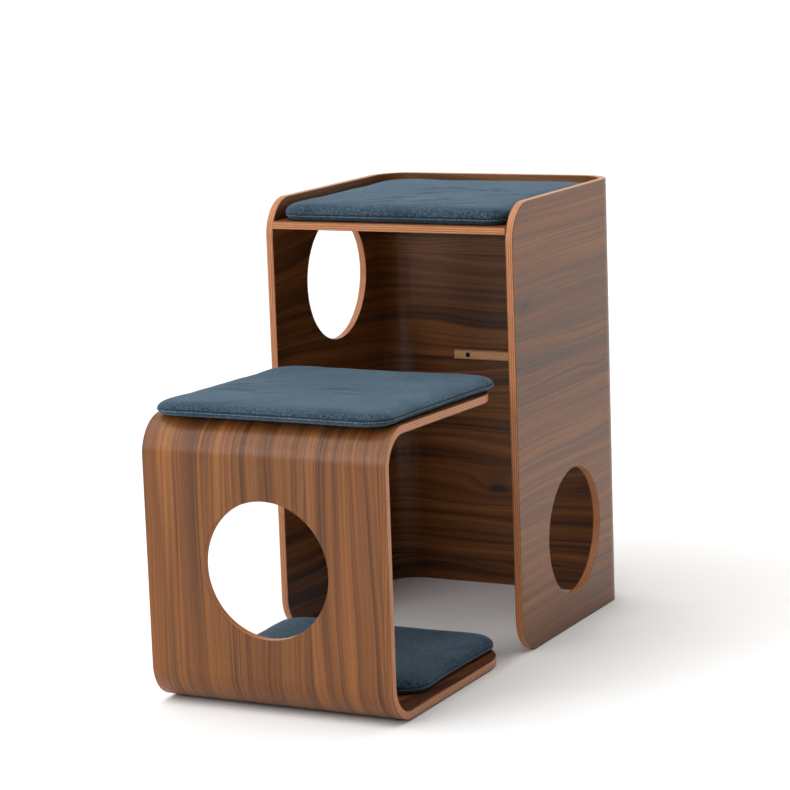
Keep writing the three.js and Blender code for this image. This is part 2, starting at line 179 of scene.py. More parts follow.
def cut_sheet(low, high, radii, holes, stations):
    """A mesh of a flat board with eased arrises: its outer face on z = 0 and its thickness going up.
    Holes are (centre, radius). Lines across the board join the stations, so that it can bend there.
    Each point keeps its place on the flat board in the attribute sheet."""
    arc = [math.pi / 2 * step / ARRIS_STEPS for step in range(ARRIS_STEPS + 1)]
    eased = [(ARRIS * (1 - math.sin(a)), ARRIS * (1 - math.cos(a))) for a in arc]
    section = [(ARRIS + EDGE_BAND, 0.0), *eased]
    section += [(inset, PLY - depth) for inset, depth in reversed(section)]

    def loops(inset):
        found = [rounded(low, high, radii, stations, inset)]
        for (x, y), radius in holes:
            turns = [math.tau * step / HOLE_STEPS for step in range(HOLE_STEPS)]
            ring = [Vector((math.cos(a), math.sin(a))) * (radius + inset) for a in turns]
            found.append([Vector((x, y)) + point for point in reversed(ring)])
        return found

    board = bmesh.new()
    rings = [
        [[board.verts.new((*point, depth)) for point in loop] for loop in loops(inset)]
        for inset, depth in section
    ]
    for outer, inner in zip(rings, rings[1:]):
        for a, b in zip(outer, inner):
            for i in range(len(a)):
                j = (i + 1) % len(a)
                board.faces.new((a[i], b[i], b[j], a[j]))

    flat = loops(section[0][0])
    points = [point for loop in flat for point in loop]
    edges, first = [], 0
    for loop in flat:
        edges += [(first + i, first + (i + 1) % len(loop)) for i in range(len(loop))]
        first += len(loop)
    lower = CORNER_STEPS + 1
    upper = lower + len(stations) + 2 * (CORNER_STEPS + 1)
    upper_last = upper + len(stations) - 1
    edges += [(lower + i, upper_last - i) for i in range(len(stations))]
    _, _, triangles, came_from, _, _ = geometry.delaunay_2d_cdt(points, edges, [], WITHIN_RIM, 1e-7)
    for triangle in triangles:
        corner = [came_from[i][0] for i in triangle]
        middle = sum((points[i] for i in corner), Vector((0, 0))) / 3
        open_to = section[0][0] - CHORD
        if any((middle - Vector(centre)).length < radius + open_to for centre, radius in holes):
            continue
        for ring, order in ((rings[0], reversed(corner)), (rings[-1], corner)):
            flat_ring = [vert for loop in ring for vert in loop]
            board.faces.new([flat_ring[i] for i in order])
    bmesh.ops.recalc_face_normals(board, faces=board.faces)
    for face in board.faces:
        face.smooth = True
    mesh = bpy.data.meshes.new("sheet")
    board.to_mesh(mesh)
    board.free()
    place = mesh.attributes.new("sheet", "FLOAT_VECTOR", "POINT")
    for vert in mesh.vertices:
        place.data[vert.index].vector = vert.co
    return mesh


class Field:
    """A value that varies over a surface: one socket of a node tree, with arithmetic."""

    def __init__(self, socket):
        self.socket = socket

    def node(self, kind, settings=None, inputs=None, output=0):
        """Adds a node to this field's tree, its settings first and then its sockets."""
        tree = self.socket.id_data
        made = tree.nodes.new(kind)
        for name, value in (settings or {}).items():
            if name == "stops":
                ramp = made.color_ramp.elements
                while len(ramp) < len(value):
                    ramp.new(1.0)
                for stop, (position, colour) in zip(ramp, value):
                    stop.position = position
                    stop.color = (*colour, 1.0)
            else:
                setattr(made, name, value)
        for name, value in (inputs or {}).items():
            if isinstance(value, Field):
                tree.links.new(value.socket, made.inputs[name])
            else:
                made.inputs[name].default_value = value
        return Field(made.outputs[output])

    def math(self, operation, *values, **settings):
        return self.node("ShaderNodeMath", {"operation": operation, **settings}, dict(enumerate(values)))

    def __add__(self, other):
        return self.math("ADD", self, other)

    __radd__ = __add__

    def __sub__(self, other):
        return self.math("SUBTRACT", self, other)

    def __rsub__(self, other):
        return self.math("SUBTRACT", other, self)

    def __mul__(self, other):
        return self.math("MULTIPLY", self, other)

    __rmul__ = __mul__

    def __truediv__(self, other):
        return self.math("DIVIDE", self, other)

    def part(self, axis):
        return self.node("ShaderNodeSeparateXYZ", None, {0: self}, axis)

    def vector(self, x, y, z):
        return self.node("ShaderNodeCombineXYZ", None, {0: x, 1: y, 2: z})

    def scaled(self, *sizes):
        """This place with its axes scaled, all alike or each by its own size."""
        each = sizes * 3 if len(sizes) == 1 else sizes
        return self.vector(*(self.part(axis) * each[axis] for axis in range(3)))

    def rise(self, low, high):
        """0 below low and 1 above high, with a smooth step between."""
        return self.node(
            "ShaderNodeMapRange",
            {"interpolation_type": "SMOOTHSTEP"},
            {"Value": self, "From Min": low, "From Max": high},
        )

    def cloud(self, detail=2.0, roughness=0.5, distortion=0.0):
        """Noise from 0 to 1 at this place, one cell to a unit."""
        kind = {"Detail": detail, "Roughness": roughness, "Distortion": distortion}
        return self.node("ShaderNodeTexNoise", None, {"Vector": self, "Scale": 1.0, **kind})

    def colours(self, *stops):
        return self.node("ShaderNodeValToRGB", {"stops": stops}, {0: self})

    def blend(self, factor, other, how="MIX"):
        """This colour, with other laid over it by factor."""
        mix = {"data_type": "RGBA", "blend_type": how}
        return self.node("ShaderNodeMix", mix, {0: factor, 6: self, 7: other}, 2)

    def bump(self, height, strength=1.0):
        """A normal that this field's height, in units of height metres, raises."""
        bump = {"Height": self, "Distance": height, "Strength": strength}
        return self.node("ShaderNodeBump", None, bump)


def finish(name, attribute=None, **constants):
    """A new material with constants on its shader's own sockets. Also gives where it is on the piece,
    and a function that feeds the shader what varies."""
    material = bpy.data.materials.new(name)
    material.use_nodes = True
    tree = material.node_tree
    shader = tree.nodes["Principled BSDF"]
    for socket, value in constants.items():
        shader.inputs[socket.replace("_", " ").title().replace("Ior", "IOR")].default_value = value
    if attribute:
        source = tree.nodes.new("ShaderNodeAttribute")
        source.attribute_name = attribute
        place = Field(source.outputs["Vector"])
    else:
        place = Field(tree.nodes.new("ShaderNodeTexCoord").outputs["Object"])

    def feed(**fields):
        for socket, field in fields.items():
            tree.links.new(field.socket, shader.inputs[socket.replace("_", " ").title()])

    return material, place, feed


VENEER = 0.0006
PLIES = 7
KNOT_RARITY = 0.92
INNER_BROAD = 0.97
INNER_STREAKS = 0.85     # the inner faces are laid from the darker, more figured leaves
WALNUT_DARK = (0.058, 0.019, 0.006)
WALNUT_MID = (0.176, 0.060, 0.014)
WALNUT_LIGHT = (0.275, 0.102, 0.025)
WALNUT_STREAK = (0.022, 0.009, 0.005)
PLY_LONG = (0.56, 0.235, 0.092)
PLY_CROSS = (0.36, 0.125, 0.046)


def walnut_ply(name, leaf, shift, streaks=0.4, broad=0.62):
    """Plywood: walnut leaves on both faces, grain along the sheet, and the plies on every cut edge.
    leaf is the width of a veneer leaf, and shift moves the figure along. broad is the contrast of the
    wide bands on the outer face."""
    material, place, feed = finish(name, "sheet", coat_roughness=0.22, specular_ior_level=0.27)
    along, across, depth = (place.part(axis) for axis in range(3))
    inside = depth.math("GREATER_THAN", depth, PLY / 2)

    # Leaves of veneer, each from another place in the flitch
    crooked = place.vector(along * 2.0, shift, inside * 5.0).cloud() * 0.0016
    leaves = (across + crooked + shift) / leaf
    number = leaves.math("FLOOR", leaves) + inside * 37.0
    across_leaf = leaves.math("FRACT", leaves)
    leaf_tone = number.node("ShaderNodeTexWhiteNoise", {"noise_dimensions": "1D"}, {"W": number}, "Value")
    flitch = number * 3.71 + shift
    joint = 1 - across_leaf.math("MINIMUM", across_leaf, 1 - across_leaf).rise(0.0, 0.0011 / leaf)

    # Growth rings: wide slow waves, drawn out along the grain,
    # that part round a few small knots
    cell = place.vector(along * 7.0, across * 18.0, flitch)
    cells = {"Vector": cell, "Scale": 1.0}
    from_knot = cell.node("ShaderNodeTexVoronoi", None, cells, "Distance")
    chance = cell.node("ShaderNodeTexVoronoi", None, cells, "Color").part(0)
    knotted = chance.math("GREATER_THAN", chance, KNOT_RARITY)
    knot = (1 - from_knot.rise(0.05, 0.20)) * knotted
    bulge = (1 - from_knot.rise(0.0, 0.55)) * knotted
    sway = place.vector(along * 1.3, across * 5.0, flitch).cloud(2.0, 0.5) - 0.5
    wave = place.vector(along * 7.0, across * 30.0, flitch).cloud(2.0, 0.5) - 0.5
    ring = across + sway * (0.075 + inside * 0.080) + wave * 0.0022 + bulge * 0.012
    band = place.vector(along * 0.9, ring * 48.0, flitch).cloud(3.0, 0.55)
    line = place.vector(along * 1.6, ring * 330.0, flitch + 9.0).cloud(2.0, 0.6)
    dark = place.vector(along * 0.7, ring * 34.0, flitch + 4.0).cloud(1.0, 0.5, 0.2)
    thin = place.vector(along * 1.1, ring * 95.0, flitch + 2.0).cloud(1.0, 0.5)
    figure = (band - 0.5) * (broad + inside * (INNER_BROAD - broad)) + (line - 0.5) * 0.42 + 0.5
    colour = figure.colours((0.34, WALNUT_DARK), (0.5, WALNUT_MID), (0.65, WALNUT_LIGHT))
    streak = dark.rise(0.60, 0.72) * 0.75 + thin.rise(0.62, 0.70) * 0.45
    shown = streaks * (1 - inside) + INNER_STREAKS * inside
    colour = colour.blend(streak * shown, (*WALNUT_STREAK, 1.0))

    # Pores, as short dashes along the grain, and the shade of each leaf
    pore = place.vector(along * 110.0, across * 1900.0, flitch).cloud(1.0, 0.5)
    pores = pore.rise(0.60, 0.74)
    colour = colour.blend(pores * 0.55, (*WALNUT_STREAK, 1.0))
    tone = 0.80 + leaf_tone * 0.34
    colour = colour.blend(1.0, tone.vector(tone, tone, tone), "MULTIPLY")
    colour = colour.blend(joint * 0.55, (*WALNUT_STREAK, 1.0))
    colour = colour.blend(bulge * 0.25 + knot * 0.65, (*WALNUT_STREAK, 1.0))

    # Cut edges: thin dark veneer, then plies that show long grain and end grain in turn
    core = depth.rise(VENEER, VENEER * 1.25) * (1 - depth.rise(PLY - VENEER * 1.25, PLY - VENEER))
    layer = depth * (PLIES / PLY)
    turn = layer.math("PINGPONG", layer, 1.0)
    fibre = place.vector(along * 60.0, across * 60.0, depth * 2600.0).cloud(2.0, 0.6)
    patch = place.vector(along * 9.0, across * 9.0, layer * 0.4).cloud(2.0, 0.5)
    plies = turn.rise(0.38, 0.62).colours((0.0, PLY_CROSS), (1.0, PLY_LONG))
    uneven = fibre.rise(0.45, 0.75) * 0.45 + patch.rise(0.5, 0.8) * 0.35
    plies = plies.blend(uneven, (*PLY_CROSS, 1.0), "MULTIPLY")
    colour = colour.blend(core, plies)

    relief = (1 - pores) * (1 - core) + line * 0.25 + fibre * core * 0.6 - joint * (1 - core) * 0.6
    feed(
        base_color=colour,
        roughness=0.38 + pores * 0.12 + core * 0.10 + (band - 0.5) * 0.10,
        coat_weight=0.08 + core * 0.12,
        normal=relief.bump(0.00006, 0.8),
    )
    return material


def new_tree(name, *inputs):
    """An empty geometry tree, and its named inputs as fields. The first input takes the mesh."""
    tree = bpy.data.node_groups.new(name, "GeometryNodeTree")
    for label, kind in inputs:
        tree.interface.new_socket(label, in_out="INPUT", socket_type="NodeSocket" + kind)
    tree.interface.new_socket("Made", in_out="OUTPUT", socket_type="NodeSocketGeometry")
    entry = tree.nodes.new("NodeGroupInput")
    return tree, {socket.name: Field(socket) for socket in entry.outputs if socket.name}


def close_tree(tree, made, material):
    """Ends a tree: instances made real, and one material on everything."""
    whole = made.node("GeometryNodeRealizeInstances", None, {"Geometry": made})
    faced = whole.node("GeometryNodeSetMaterial", None, {"Geometry": whole, "Material": material})
    tree.links.new(faced.socket, tree.nodes.new("NodeGroupOutput").inputs["Made"])
    return tree


def press_former():
    """Node tree that bends a flat sheet round a former: flat for half a panel each side of the middle,
    then round a bend of a set turn, then straight on. The outer face keeps its length."""
    tree, given = new_tree(
        "press_former",
        ("Sheet", "Geometry"),
        ("Half panel", "Float"),
        ("Bend radius", "Float"),
        ("Turn at low end", "Float"),
        ("Turn at high end", "Float"),
        ("Veneer", "Material"),
    )
    half, radius = given["Half panel"], given["Bend radius"]
    flat = half.node("GeometryNodeInputPosition")
    along, across, depth = (flat.part(axis) for axis in range(3))
    side = along.math("SIGN", along)
    reach = along.math("ABSOLUTE", along)
    past = reach.math("MAXIMUM", reach - half, 0.0)
    high = side.math("GREATER_THAN", side, 0.0)
    turn = given["Turn at low end"] * (1 - high) + given["Turn at high end"] * high
    angle = past.math("MINIMUM", past / radius, turn)
    beyond = past.math("MAXIMUM", past - radius * turn, 0.0)
    sine, cosine = angle.math("SINE", angle), angle.math("COSINE", angle)
    inner = radius - depth
    x = side * (reach.math("MINIMUM", reach, half) + inner * sine + beyond * cosine)
    z = radius - inner * cosine + beyond * sine
    bent = given["Sheet"].node(
        "GeometryNodeSetPosition", None, {"Geometry": given["Sheet"], "Position": x.vector(x, across, z)}
    )
    return close_tree(tree, bent, given["Veneer"])


def run_tree(name, mesh, tree, stand, **inputs):
    """Runs a node tree on a mesh with its named inputs, and gives a plain object whose mesh has been
    put in place by stand."""
    blank = bpy.data.objects.new(name + "_blank", mesh)
    scene.collection.objects.link(blank)
    modifier = blank.modifiers.new("tree", "NODES")
    modifier.node_group = tree
    for item in tree.interface.items_tree:
        key = item.name.lower().replace(" ", "_")
        if key in inputs:
            modifier[item.identifier] = inputs[key]
    graph = bpy.context.evaluated_depsgraph_get()
    evaluated = blank.evaluated_get(graph)
    made = bpy.data.meshes.new_from_object(evaluated, preserve_all_data_layers=True, depsgraph=graph)
    bpy.data.objects.remove(blank)
    made.transform(stand)
    made.name = name
    piece = bpy.data.objects.new(name, made)
    scene.collection.objects.link(piece)
    return piece


def standing(along, across, inward, origin):
    """The matrix that stands a sheet up: where its three axes point, and where its origin goes."""
    return Matrix.Translation(origin) @ Matrix((along, across, inward)).transposed().to_4x4()


def bend_stations(half, bends):
    """Where a sheet needs lines across it to bend: (end of the sheet, angle of its bend)."""
    found = []
    for side, turn in bends:
        arc = BEND_RADIUS * turn
        bend = (arc * step / BEND_STEPS for step in range(BEND_STEPS + 1))
        marks = [-EDGE_BAND, *bend, arc + EDGE_BAND]
        found += [side * (half + mark) for mark in marks]
    return sorted(found)


X, Y, Z = (Vector(axis) for axis in ((1, 0, 0), (0, 1, 0), (0, 0, 1)))
RIGHT_ANGLE = math.pi / 2
PRESS = press_former()

low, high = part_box("tower_shell")
half_back = (high.x - low.x) / 2 - BEND_RADIUS
side_reach = half_back + BEND_RADIUS * RIGHT_ANGLE + (high.y - low.y) - BEND_RADIUS
doorway_mark = side_reach - ((high.y - low.y) / 2 + DOORWAY_SHIFT)
shelf_low, shelf_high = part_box("tower_shelf")
tower_sheet = cut_sheet(
    Vector((-side_reach, low.z)),
    Vector((side_reach, high.z)),
    [TOWER_CORNER] * 4,
    [
        ((doorway_mark, low.z + RIGHT_SILL + DOORWAY_RADIUS), DOORWAY_RADIUS),
        ((-doorway_mark, shelf_low.z - LEFT_LINTEL - DOORWAY_RADIUS), DOORWAY_RADIUS),
    ],
    bend_stations(half_back, [(-1, RIGHT_ANGLE), (1, RIGHT_ANGLE)]),
)
tower_shell = run_tree(
    "tower_shell_moulded",
    tower_sheet,
    PRESS,
    standing(X, Z, -Y, Vector((0, high.y, 0))),
    half_panel=half_back,
    bend_radius=BEND_RADIUS,
    turn_at_low_end=RIGHT_ANGLE,
    turn_at_high_end=RIGHT_ANGLE,
    veneer=walnut_ply("walnut_tower", leaf=0.175, shift=0.31, streaks=0.22, broad=0.42),
)
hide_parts("tower_shell")
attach(tower_shell, "tower")

# ---- Shelf -------------------------------------------------------------------------------------
# A flat board of the same plywood, its rear corners cut to the bends. It closes the tower and is the
# bottom of the tray.

GLUE_LINE = 0.0003
SHARP = 0.001
rear = BEND_RADIUS - PLY - GLUE_LINE
shelf_sheet = cut_sheet(shelf_low.xy, shelf_high.xy, [SHARP, SHARP, rear, rear], [], [])
shelf_sheet.materials.append(walnut_ply("walnut_shelf", leaf=0.14, shift=0.77))
shelf_sheet.transform(standing(X, Y, Z, Vector((0, 0, shelf_low.z))))
shelf = bpy.data.objects.new("shelf_board", shelf_sheet)
scene.collection.objects.link(shelf)
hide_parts("tower_shelf")
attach(shelf, "tower")

# ---- Step shell --------------------------------------------------------------------------------
# A second sheet with one doorway in its middle, pressed into a C on its side. The free top panel
# springs down a little to the rear, and both rear edges have large rounded corners.

TOP_DROOP = math.radians(1.5)
STEP_REAR_CORNER = 0.090

low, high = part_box("step_shell")
half_front = (high.z - low.z) / 2 - BEND_RADIUS
top_turn = RIGHT_ANGLE + TOP_DROOP
step_run = high.y - low.y - BEND_RADIUS
top_run = (step_run - BEND_RADIUS * math.sin(TOP_DROOP)) / math.cos(TOP_DROOP)
step_sheet = cut_sheet(
    Vector((-(half_front + BEND_RADIUS * RIGHT_ANGLE + step_run), low.x)),
    Vector((half_front + BEND_RADIUS * top_turn + top_run, high.x)),
    [STEP_REAR_CORNER] * 4,
    [((0, 0), DOORWAY_RADIUS)],
    bend_stations(half_front, [(-1, RIGHT_ANGLE), (1, top_turn)]),
)
step_shell = run_tree(
    "step_shell_moulded",
    step_sheet,
    PRESS,
    standing(Z, X, Y, Vector((0, low.y, (low.z + high.z) / 2))),
    half_panel=half_front,
    bend_radius=BEND_RADIUS,
    turn_at_low_end=RIGHT_ANGLE,
    turn_at_high_end=top_turn,
    veneer=walnut_ply("walnut_step", leaf=0.118, shift=0.52),
)
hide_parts("step_shell")
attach(step_shell, "step")

# ---- Dowels, cleat and screws ------------------------------------------------------------------
# Turned beech dowels hold the shelf. A planed strip of light hardwood is screwed across the back with
# two blackened countersunk screws, so that the tower can be fixed to a wall.

OILED_LIGHT = (0.74, 0.42, 0.21)
OILED_DARK = (0.50, 0.25, 0.105)
STEEL_BLACK = (0.012, 0.012, 0.013)
STEEL_RUBBED = (0.050, 0.048, 0.045)
GRAIN_ACROSS, GRAIN_ALONG = 90.0, 5.0    # rings to a metre
FLECKS = 9.0                             # flecks to a ring


def light_wood(name, grain_axis):
    """Planed light hardwood, with its grain along one axis."""
    material, place, feed = finish(name, specular_ior_level=0.35)
    scale = [GRAIN_ACROSS] * 3
    scale[grain_axis] = GRAIN_ALONG
    ring = place.scaled(*scale).cloud(3.0, 0.6, 0.3)
    fleck = place.scaled(*(size * FLECKS for size in scale)).cloud(2.0, 0.6)
    figure = ring * 0.7 + fleck * 0.3
    colour = figure.colours((0.35, OILED_DARK), (0.62, OILED_LIGHT))
    feed(base_color=colour, roughness=0.5 + fleck * 0.15, normal=fleck.bump(0.00008, 0.6))
    return material


def blackened_steel():
    """Steel screws blackened by oxide, a little rubbed."""
    material, place, feed = finish("blackened_steel", metallic=0.9)
    rub = place.scaled(700.0).cloud(3.0, 0.6)
    feed(base_color=rub.colours((0.4, STEEL_BLACK), (0.9, STEEL_RUBBED)), roughness=0.32 + rub * 0.25)
    return material


def face_with(material, *names):
    """Gives CAD pieces a finer material in place of their own."""
    for node in names:
        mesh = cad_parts[node].data
        mesh.materials.clear()
        mesh.materials.append(material)


side_names = ("shelf_dowel_left", "shelf_dowel_right")
side_dowels = [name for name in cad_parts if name.startswith(side_names)]
back_dowels = [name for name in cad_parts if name.startswith("shelf_dowel_back")]
face_with(light_wood("beech_across", 0), "back_cleat", *side_dowels)
face_with(light_wood("beech_lengthwise", 1), *back_dowels)
face_with(blackened_steel(), "cleat_screw_left", "cleat_screw_right")

# ---- Pads under the step -----------------------------------------------------------------------
# Four discs punched from pressed felt, glued under the bottom panel near its corners. Each bulges a
# little at its middle under the step's weight.

FELT_DARK = (0.075, 0.068, 0.060)
FELT_LIGHT = (0.160, 0.150, 0.135)
PAD_TAPER = 0.16         # how much the disc narrows towards its two faces


def pressed_felt():
    """Grey felt, with short fibres lying every way."""
    material, place, feed = finish("pressed_felt", sheen_weight=0.3, sheen_roughness=0.6)
    fibre = place.scaled(1400.0).cloud(4.0, 0.7)
    feed(
        base_color=fibre.colours((0.3, FELT_DARK), (0.8, FELT_LIGHT)),
        roughness=0.88 + fibre * 0.1,
        normal=fibre.bump(0.0003, 0.8),
    )
    return material


def felt_discs():
    """Node tree that puts a disc at each place."""
    tree, given = new_tree(
        "felt_discs",
        ("Places", "Geometry"),
        ("Radius", "Float"),
        ("Thickness", "Float"),
        ("Felt", "Material"),
    )
    places = given["Places"]
    cut = {"Vertices": 40, "Side Segments": 4, "Fill Segments": 3}
    size = {"Radius": given["Radius"], "Depth": given["Thickness"]}
    disc = places.node("GeometryNodeMeshCylinder", None, {**cut, **size})
    here = places.node("GeometryNodeInputPosition")
    x, y, z = (here.part(axis) for axis in range(3))
    level = z / given["Thickness"]
    width = 1 - level * level * PAD_TAPER
    bulged = {"Geometry": disc, "Position": places.vector(x * width, y * width, z)}
    eased = places.node("GeometryNodeSetPosition", None, bulged)
    smooth = places.node("GeometryNodeSetShadeSmooth", None, {"Geometry": eased})
    put = places.node("GeometryNodeInstanceOnPoints", None, {"Points": places, "Instance": smooth})
    return close_tree(tree, put, given["Felt"])


pad_boxes = [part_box(name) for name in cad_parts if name.startswith("step_pad")]
pad_places = bpy.data.meshes.new("pad_places")
pad_places.from_pydata([(low + high) / 2 for low, high in pad_boxes], [], [])
low, high = pad_boxes[0]
pads = run_tree(
    "step_pads",
    pad_places,
    felt_discs(),
    Matrix(),
    radius=(high.x - low.x) / 2,
    thickness=high.z - low.z,
    felt=pressed_felt(),
)
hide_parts(*(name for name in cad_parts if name.startswith("step_pad")))
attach(pads, "step")

# ---- Cushions ----------------------------------------------------------------------------------
# Three flat pads: a block of foam in a blue-grey wool-blend cover. The cover is cut as a top that
# wraps over the edge and a base, sewn together low on the side with a topstitch under the seam, and
# it closes with a zip at the back. The cloth is tight at the corners and pulls in between them.

CUSHION = 0.022
LOOM = 0.0060            # size of the cloth's cells before it is blown up
PRESSURE = 4.0
BLOW_FRAMES = 20
SWELL = 0.0042           # furthest that the cloth may move
SEAM_HEIGHT = 0.0100
SEAM_WIDTH = 0.0011
SEAM_DEPTH = 0.0012
STITCH_HEIGHT = 0.0077
STITCH_PITCH = 0.0044
STITCH_LENGTH = 0.0032
THREAD_RADIUS = 0.0005
UNEVEN = 0.0006          # slow unevenness of the top
PULL_IN = 0.0018         # how far each side draws in between its corners
BLOCK = [                # section of the foam: in from the side, and part of its height
    (0.0140, 0.00),
    (0.0075, 0.03),
    (0.0030, 0.13),
    (0.0010, 0.30),
    (0.0010, 0.52),
    (0.0028, 0.74),
    (0.0066, 0.90),
    (0.0125, 0.98),
    (0.0200, 1.00),
]
WOOL_DEEP = (0.014, 0.026, 0.040)
WOOL_BLUE = (0.036, 0.062, 0.088)
WOOL_PALE = (0.085, 0.128, 0.165)
SHEEN_BLUE = (0.50, 0.76, 1.0, 1.0)
THREAD_PALE = (0.26, 0.33, 0.39)
TWILL = 4300.0           # turn of the twill's wave along a metre
THREAD_TWIST = 5200.0


def wool_cloth():
    """Milled wool-blend cloth: a close twill under a soft mottled nap, with painted shade along the seam.
    """
    nap_gloss = {"sheen_weight": 0.40, "sheen_roughness": 0.35, "sheen_tint": SHEEN_BLUE}
    material, place, feed = finish("wool_cloth", specular_ior_level=0.15, **nap_gloss)
    x, y, z = (place.part(axis) for axis in range(3))
    twill = (x + y * 0.5 + z) * TWILL
    weft = (y - x * 0.5 + z) * TWILL
    weave = twill.math("SINE", twill) * weft.math("SINE", weft)
    nap = place.scaled(800.0).cloud(3.0, 0.65)
    mottle = place.scaled(250.0).cloud(3.0, 0.7)
    wear = place.scaled(11.0).cloud(2.0, 0.5)
    tone = nap * 0.32 + mottle * 0.50 + wear * 0.18
    colour = tone.colours((0.41, WOOL_DEEP), (0.5, WOOL_BLUE), (0.60, WOOL_PALE))
    colour = colour.blend((weave * 0.5 + 0.5) * 0.20, (*WOOL_DEEP, 1.0))
    loft = place.node("ShaderNodeAttribute", {"attribute_name": "loft"}, None, "Fac")
    # Painted shade: a thin band along the seam's groove is darkened towards the deepest wool colour.
    seam_shade = 1 - loft.math("ABSOLUTE", loft - SEAM_HEIGHT).rise(SEAM_WIDTH * 0.3, SEAM_WIDTH * 1.5)
    colour = colour.blend(seam_shade * 0.75, (*WOOL_DEEP, 1.0))
    relief = weave * 0.35 + nap * 0.9 + mottle * 1.2
    feed(base_color=colour, roughness=0.86 + nap * 0.12, normal=relief.bump(0.00025, 0.75))
    return material


def spun_thread():
    """Pale twisted sewing thread."""
    material, place, feed = finish("spun_thread", sheen_weight=0.2, sheen_roughness=0.4)
    ply = (place.part(0) + place.part(1) + place.part(2)) * THREAD_TWIST
    lay = ply.math("SINE", ply) * 0.5 + 0.5
    feed(base_color=lay.colours((0.0, WOOL_BLUE), (1.0, THREAD_PALE)), roughness=0.7 + lay * 0.1)
    return material


def foam_block(width, depth, corner, rim):
    """The pad before it swells, rim high at its edge: rounded outlines stacked up its section."""
    reach, corners = Vector((width / 2, depth / 2)), [corner] * 4
    block = bmesh.new()
    rings = [
        [block.verts.new((*point, part * rim)) for point in rounded(-reach, reach, corners, [], inset)]
        for inset, part in BLOCK
    ]
    for lower, upper in zip(rings, rings[1:]):
        for i in range(len(lower)):
            j = (i + 1) % len(lower)
            block.faces.new((lower[i], lower[j], upper[j], upper[i]))
    block.faces.new(list(reversed(rings[0])))
    block.faces.new(rings[-1])
    mesh = bpy.data.meshes.new("foam_block")
    block.to_mesh(mesh)
    block.free()
    return mesh


def settled(piece):
    """Swaps an object's mesh for what its modifiers make of it, and takes them off."""
    graph = bpy.context.evaluated_depsgraph_get()
    made = bpy.data.meshes.new_from_object(piece.evaluated_get(graph))
    piece.modifiers.clear()
    piece.data = made


def swell(piece):
    """Blows the cover up with cloth, and lets no point move further than the foam allows."""
    cloth = piece.modifiers.new("cloth", "CLOTH")
    cloth.settings.use_pressure = True
    cloth.settings.uniform_pressure_force = PRESSURE
    cloth.settings.effector_weights.gravity = 0.0
    cloth.settings.quality = 5
    for moment in range(1, BLOW_FRAMES + 1):
        scene.frame_set(moment)
    graph = bpy.context.evaluated_depsgraph_get()
    blown = [vert.co.copy() for vert in piece.evaluated_get(graph).data.vertices]
    piece.modifiers.clear()
    scene.frame_set(1)
    for vert, there in zip(piece.data.vertices, blown):
        move = there - vert.co
        vert.co += move * SWELL / (SWELL + move.length)


FOLD_REACH, FOLD_WIDTH, FOLD_HEIGHT = (0.035, 0.085), (0.006, 0.011), (0.0011, 0.0024)
FOLD_BOW = 0.012


def slack_folds(seed, count, spot, spread):
    """Folds in the slack cloth round a spot: where each is, its direction, half length, width, height
    and bow."""
    chance = random.Random(seed)
    folds = []
    for _ in range(count):
        place = Vector([middle + chance.uniform(-spread, spread) for middle in spot])
        angle = math.radians(chance.gauss(38, 24))
        way = Vector((math.cos(angle), math.sin(angle)))
        sizes = [chance.uniform(*bounds) for bounds in (FOLD_REACH, FOLD_WIDTH, FOLD_HEIGHT)]
        folds.append((place, way, *sizes, chance.uniform(-FOLD_BOW, FOLD_BOW)))
    return folds


def fold_height(x, y, folds):
    """How much the folds raise the cloth: each is a ridge with a hollow on both sides."""
    rise = 0.0
    for place, way, half, width, height, bow in folds:
        off = Vector((x, y)) - place
        run = off.dot(way) / half
        if abs(run) < 1:
            away = ((off.x * way.y - off.y * way.x) + bow * run * run) / width
            rise += height * (1 - run * run) ** 2 * (1 - away * away) * math.exp(-away * away)
    return rise


def dress(mesh, width, depth, crown, folds):
    """Draws the sides in, lays the base flat, crowns the top and folds its slack cloth."""
    reach_x = max(abs(vert.co.x) for vert in mesh.vertices)
    reach_y = max(abs(vert.co.y) for vert in mesh.vertices)
    for vert in mesh.vertices:
        x, y, z = vert.co
        u, v = x / reach_x, y / reach_y
        vert.co.x = u * (width / 2 - PULL_IN * max(0.0, 1 - v * v))
        vert.co.y = v * (depth / 2 - PULL_IN * max(0.0, 1 - u * u))
        if z > CUSHION / 2:
            inner = max(0.0, 1 - u * u) * max(0.0, 1 - v * v)
            drift = noise.noise(Vector((x * 14.0, y * 14.0, width * 50.0))) * UNEVEN
            vert.co.z += crown * inner + (fold_height(x, y, folds) + drift) * min(1.0, inner * 4)
        vert.co.z = max(vert.co.z, 0.0)


def loop_at(form, height):
    """The closed line round a form at a height, as points in order."""
    everything = form.verts[:] + form.edges[:] + form.faces[:]
    cut = bmesh.ops.bisect_plane(form, geom=everything, plane_co=(0, 0, height), plane_no=(0, 0, 1))
    verts = [item for item in cut["geom_cut"] if isinstance(item, bmesh.types.BMVert)]
    return sorted(verts, key=lambda vert: math.atan2(vert.co.y, vert.co.x))


def seamed(mesh):
    """Sinks the seam into the side. Also gives the lines of the topstitch and of the zip."""
    form = bmesh.new()
    form.from_mesh(mesh)
    loop_at(form, SEAM_HEIGHT - SEAM_WIDTH)
    loop_at(form, SEAM_HEIGHT + SEAM_WIDTH)
    sunk = loop_at(form, SEAM_HEIGHT)
    form.normal_update()
    for vert in sunk:
        inward = Vector((-vert.normal.x, -vert.normal.y, 0)).normalized()
        vert.co += inward * SEAM_DEPTH
    stitch = [vert.co.copy() for vert in loop_at(form, STITCH_HEIGHT)]
    middle = [vert.co.copy() for vert in loop_at(form, CUSHION / 2)]
    for face in form.faces:
        face.smooth = True
    form.to_mesh(mesh)
    form.free()
    return stitch, middle


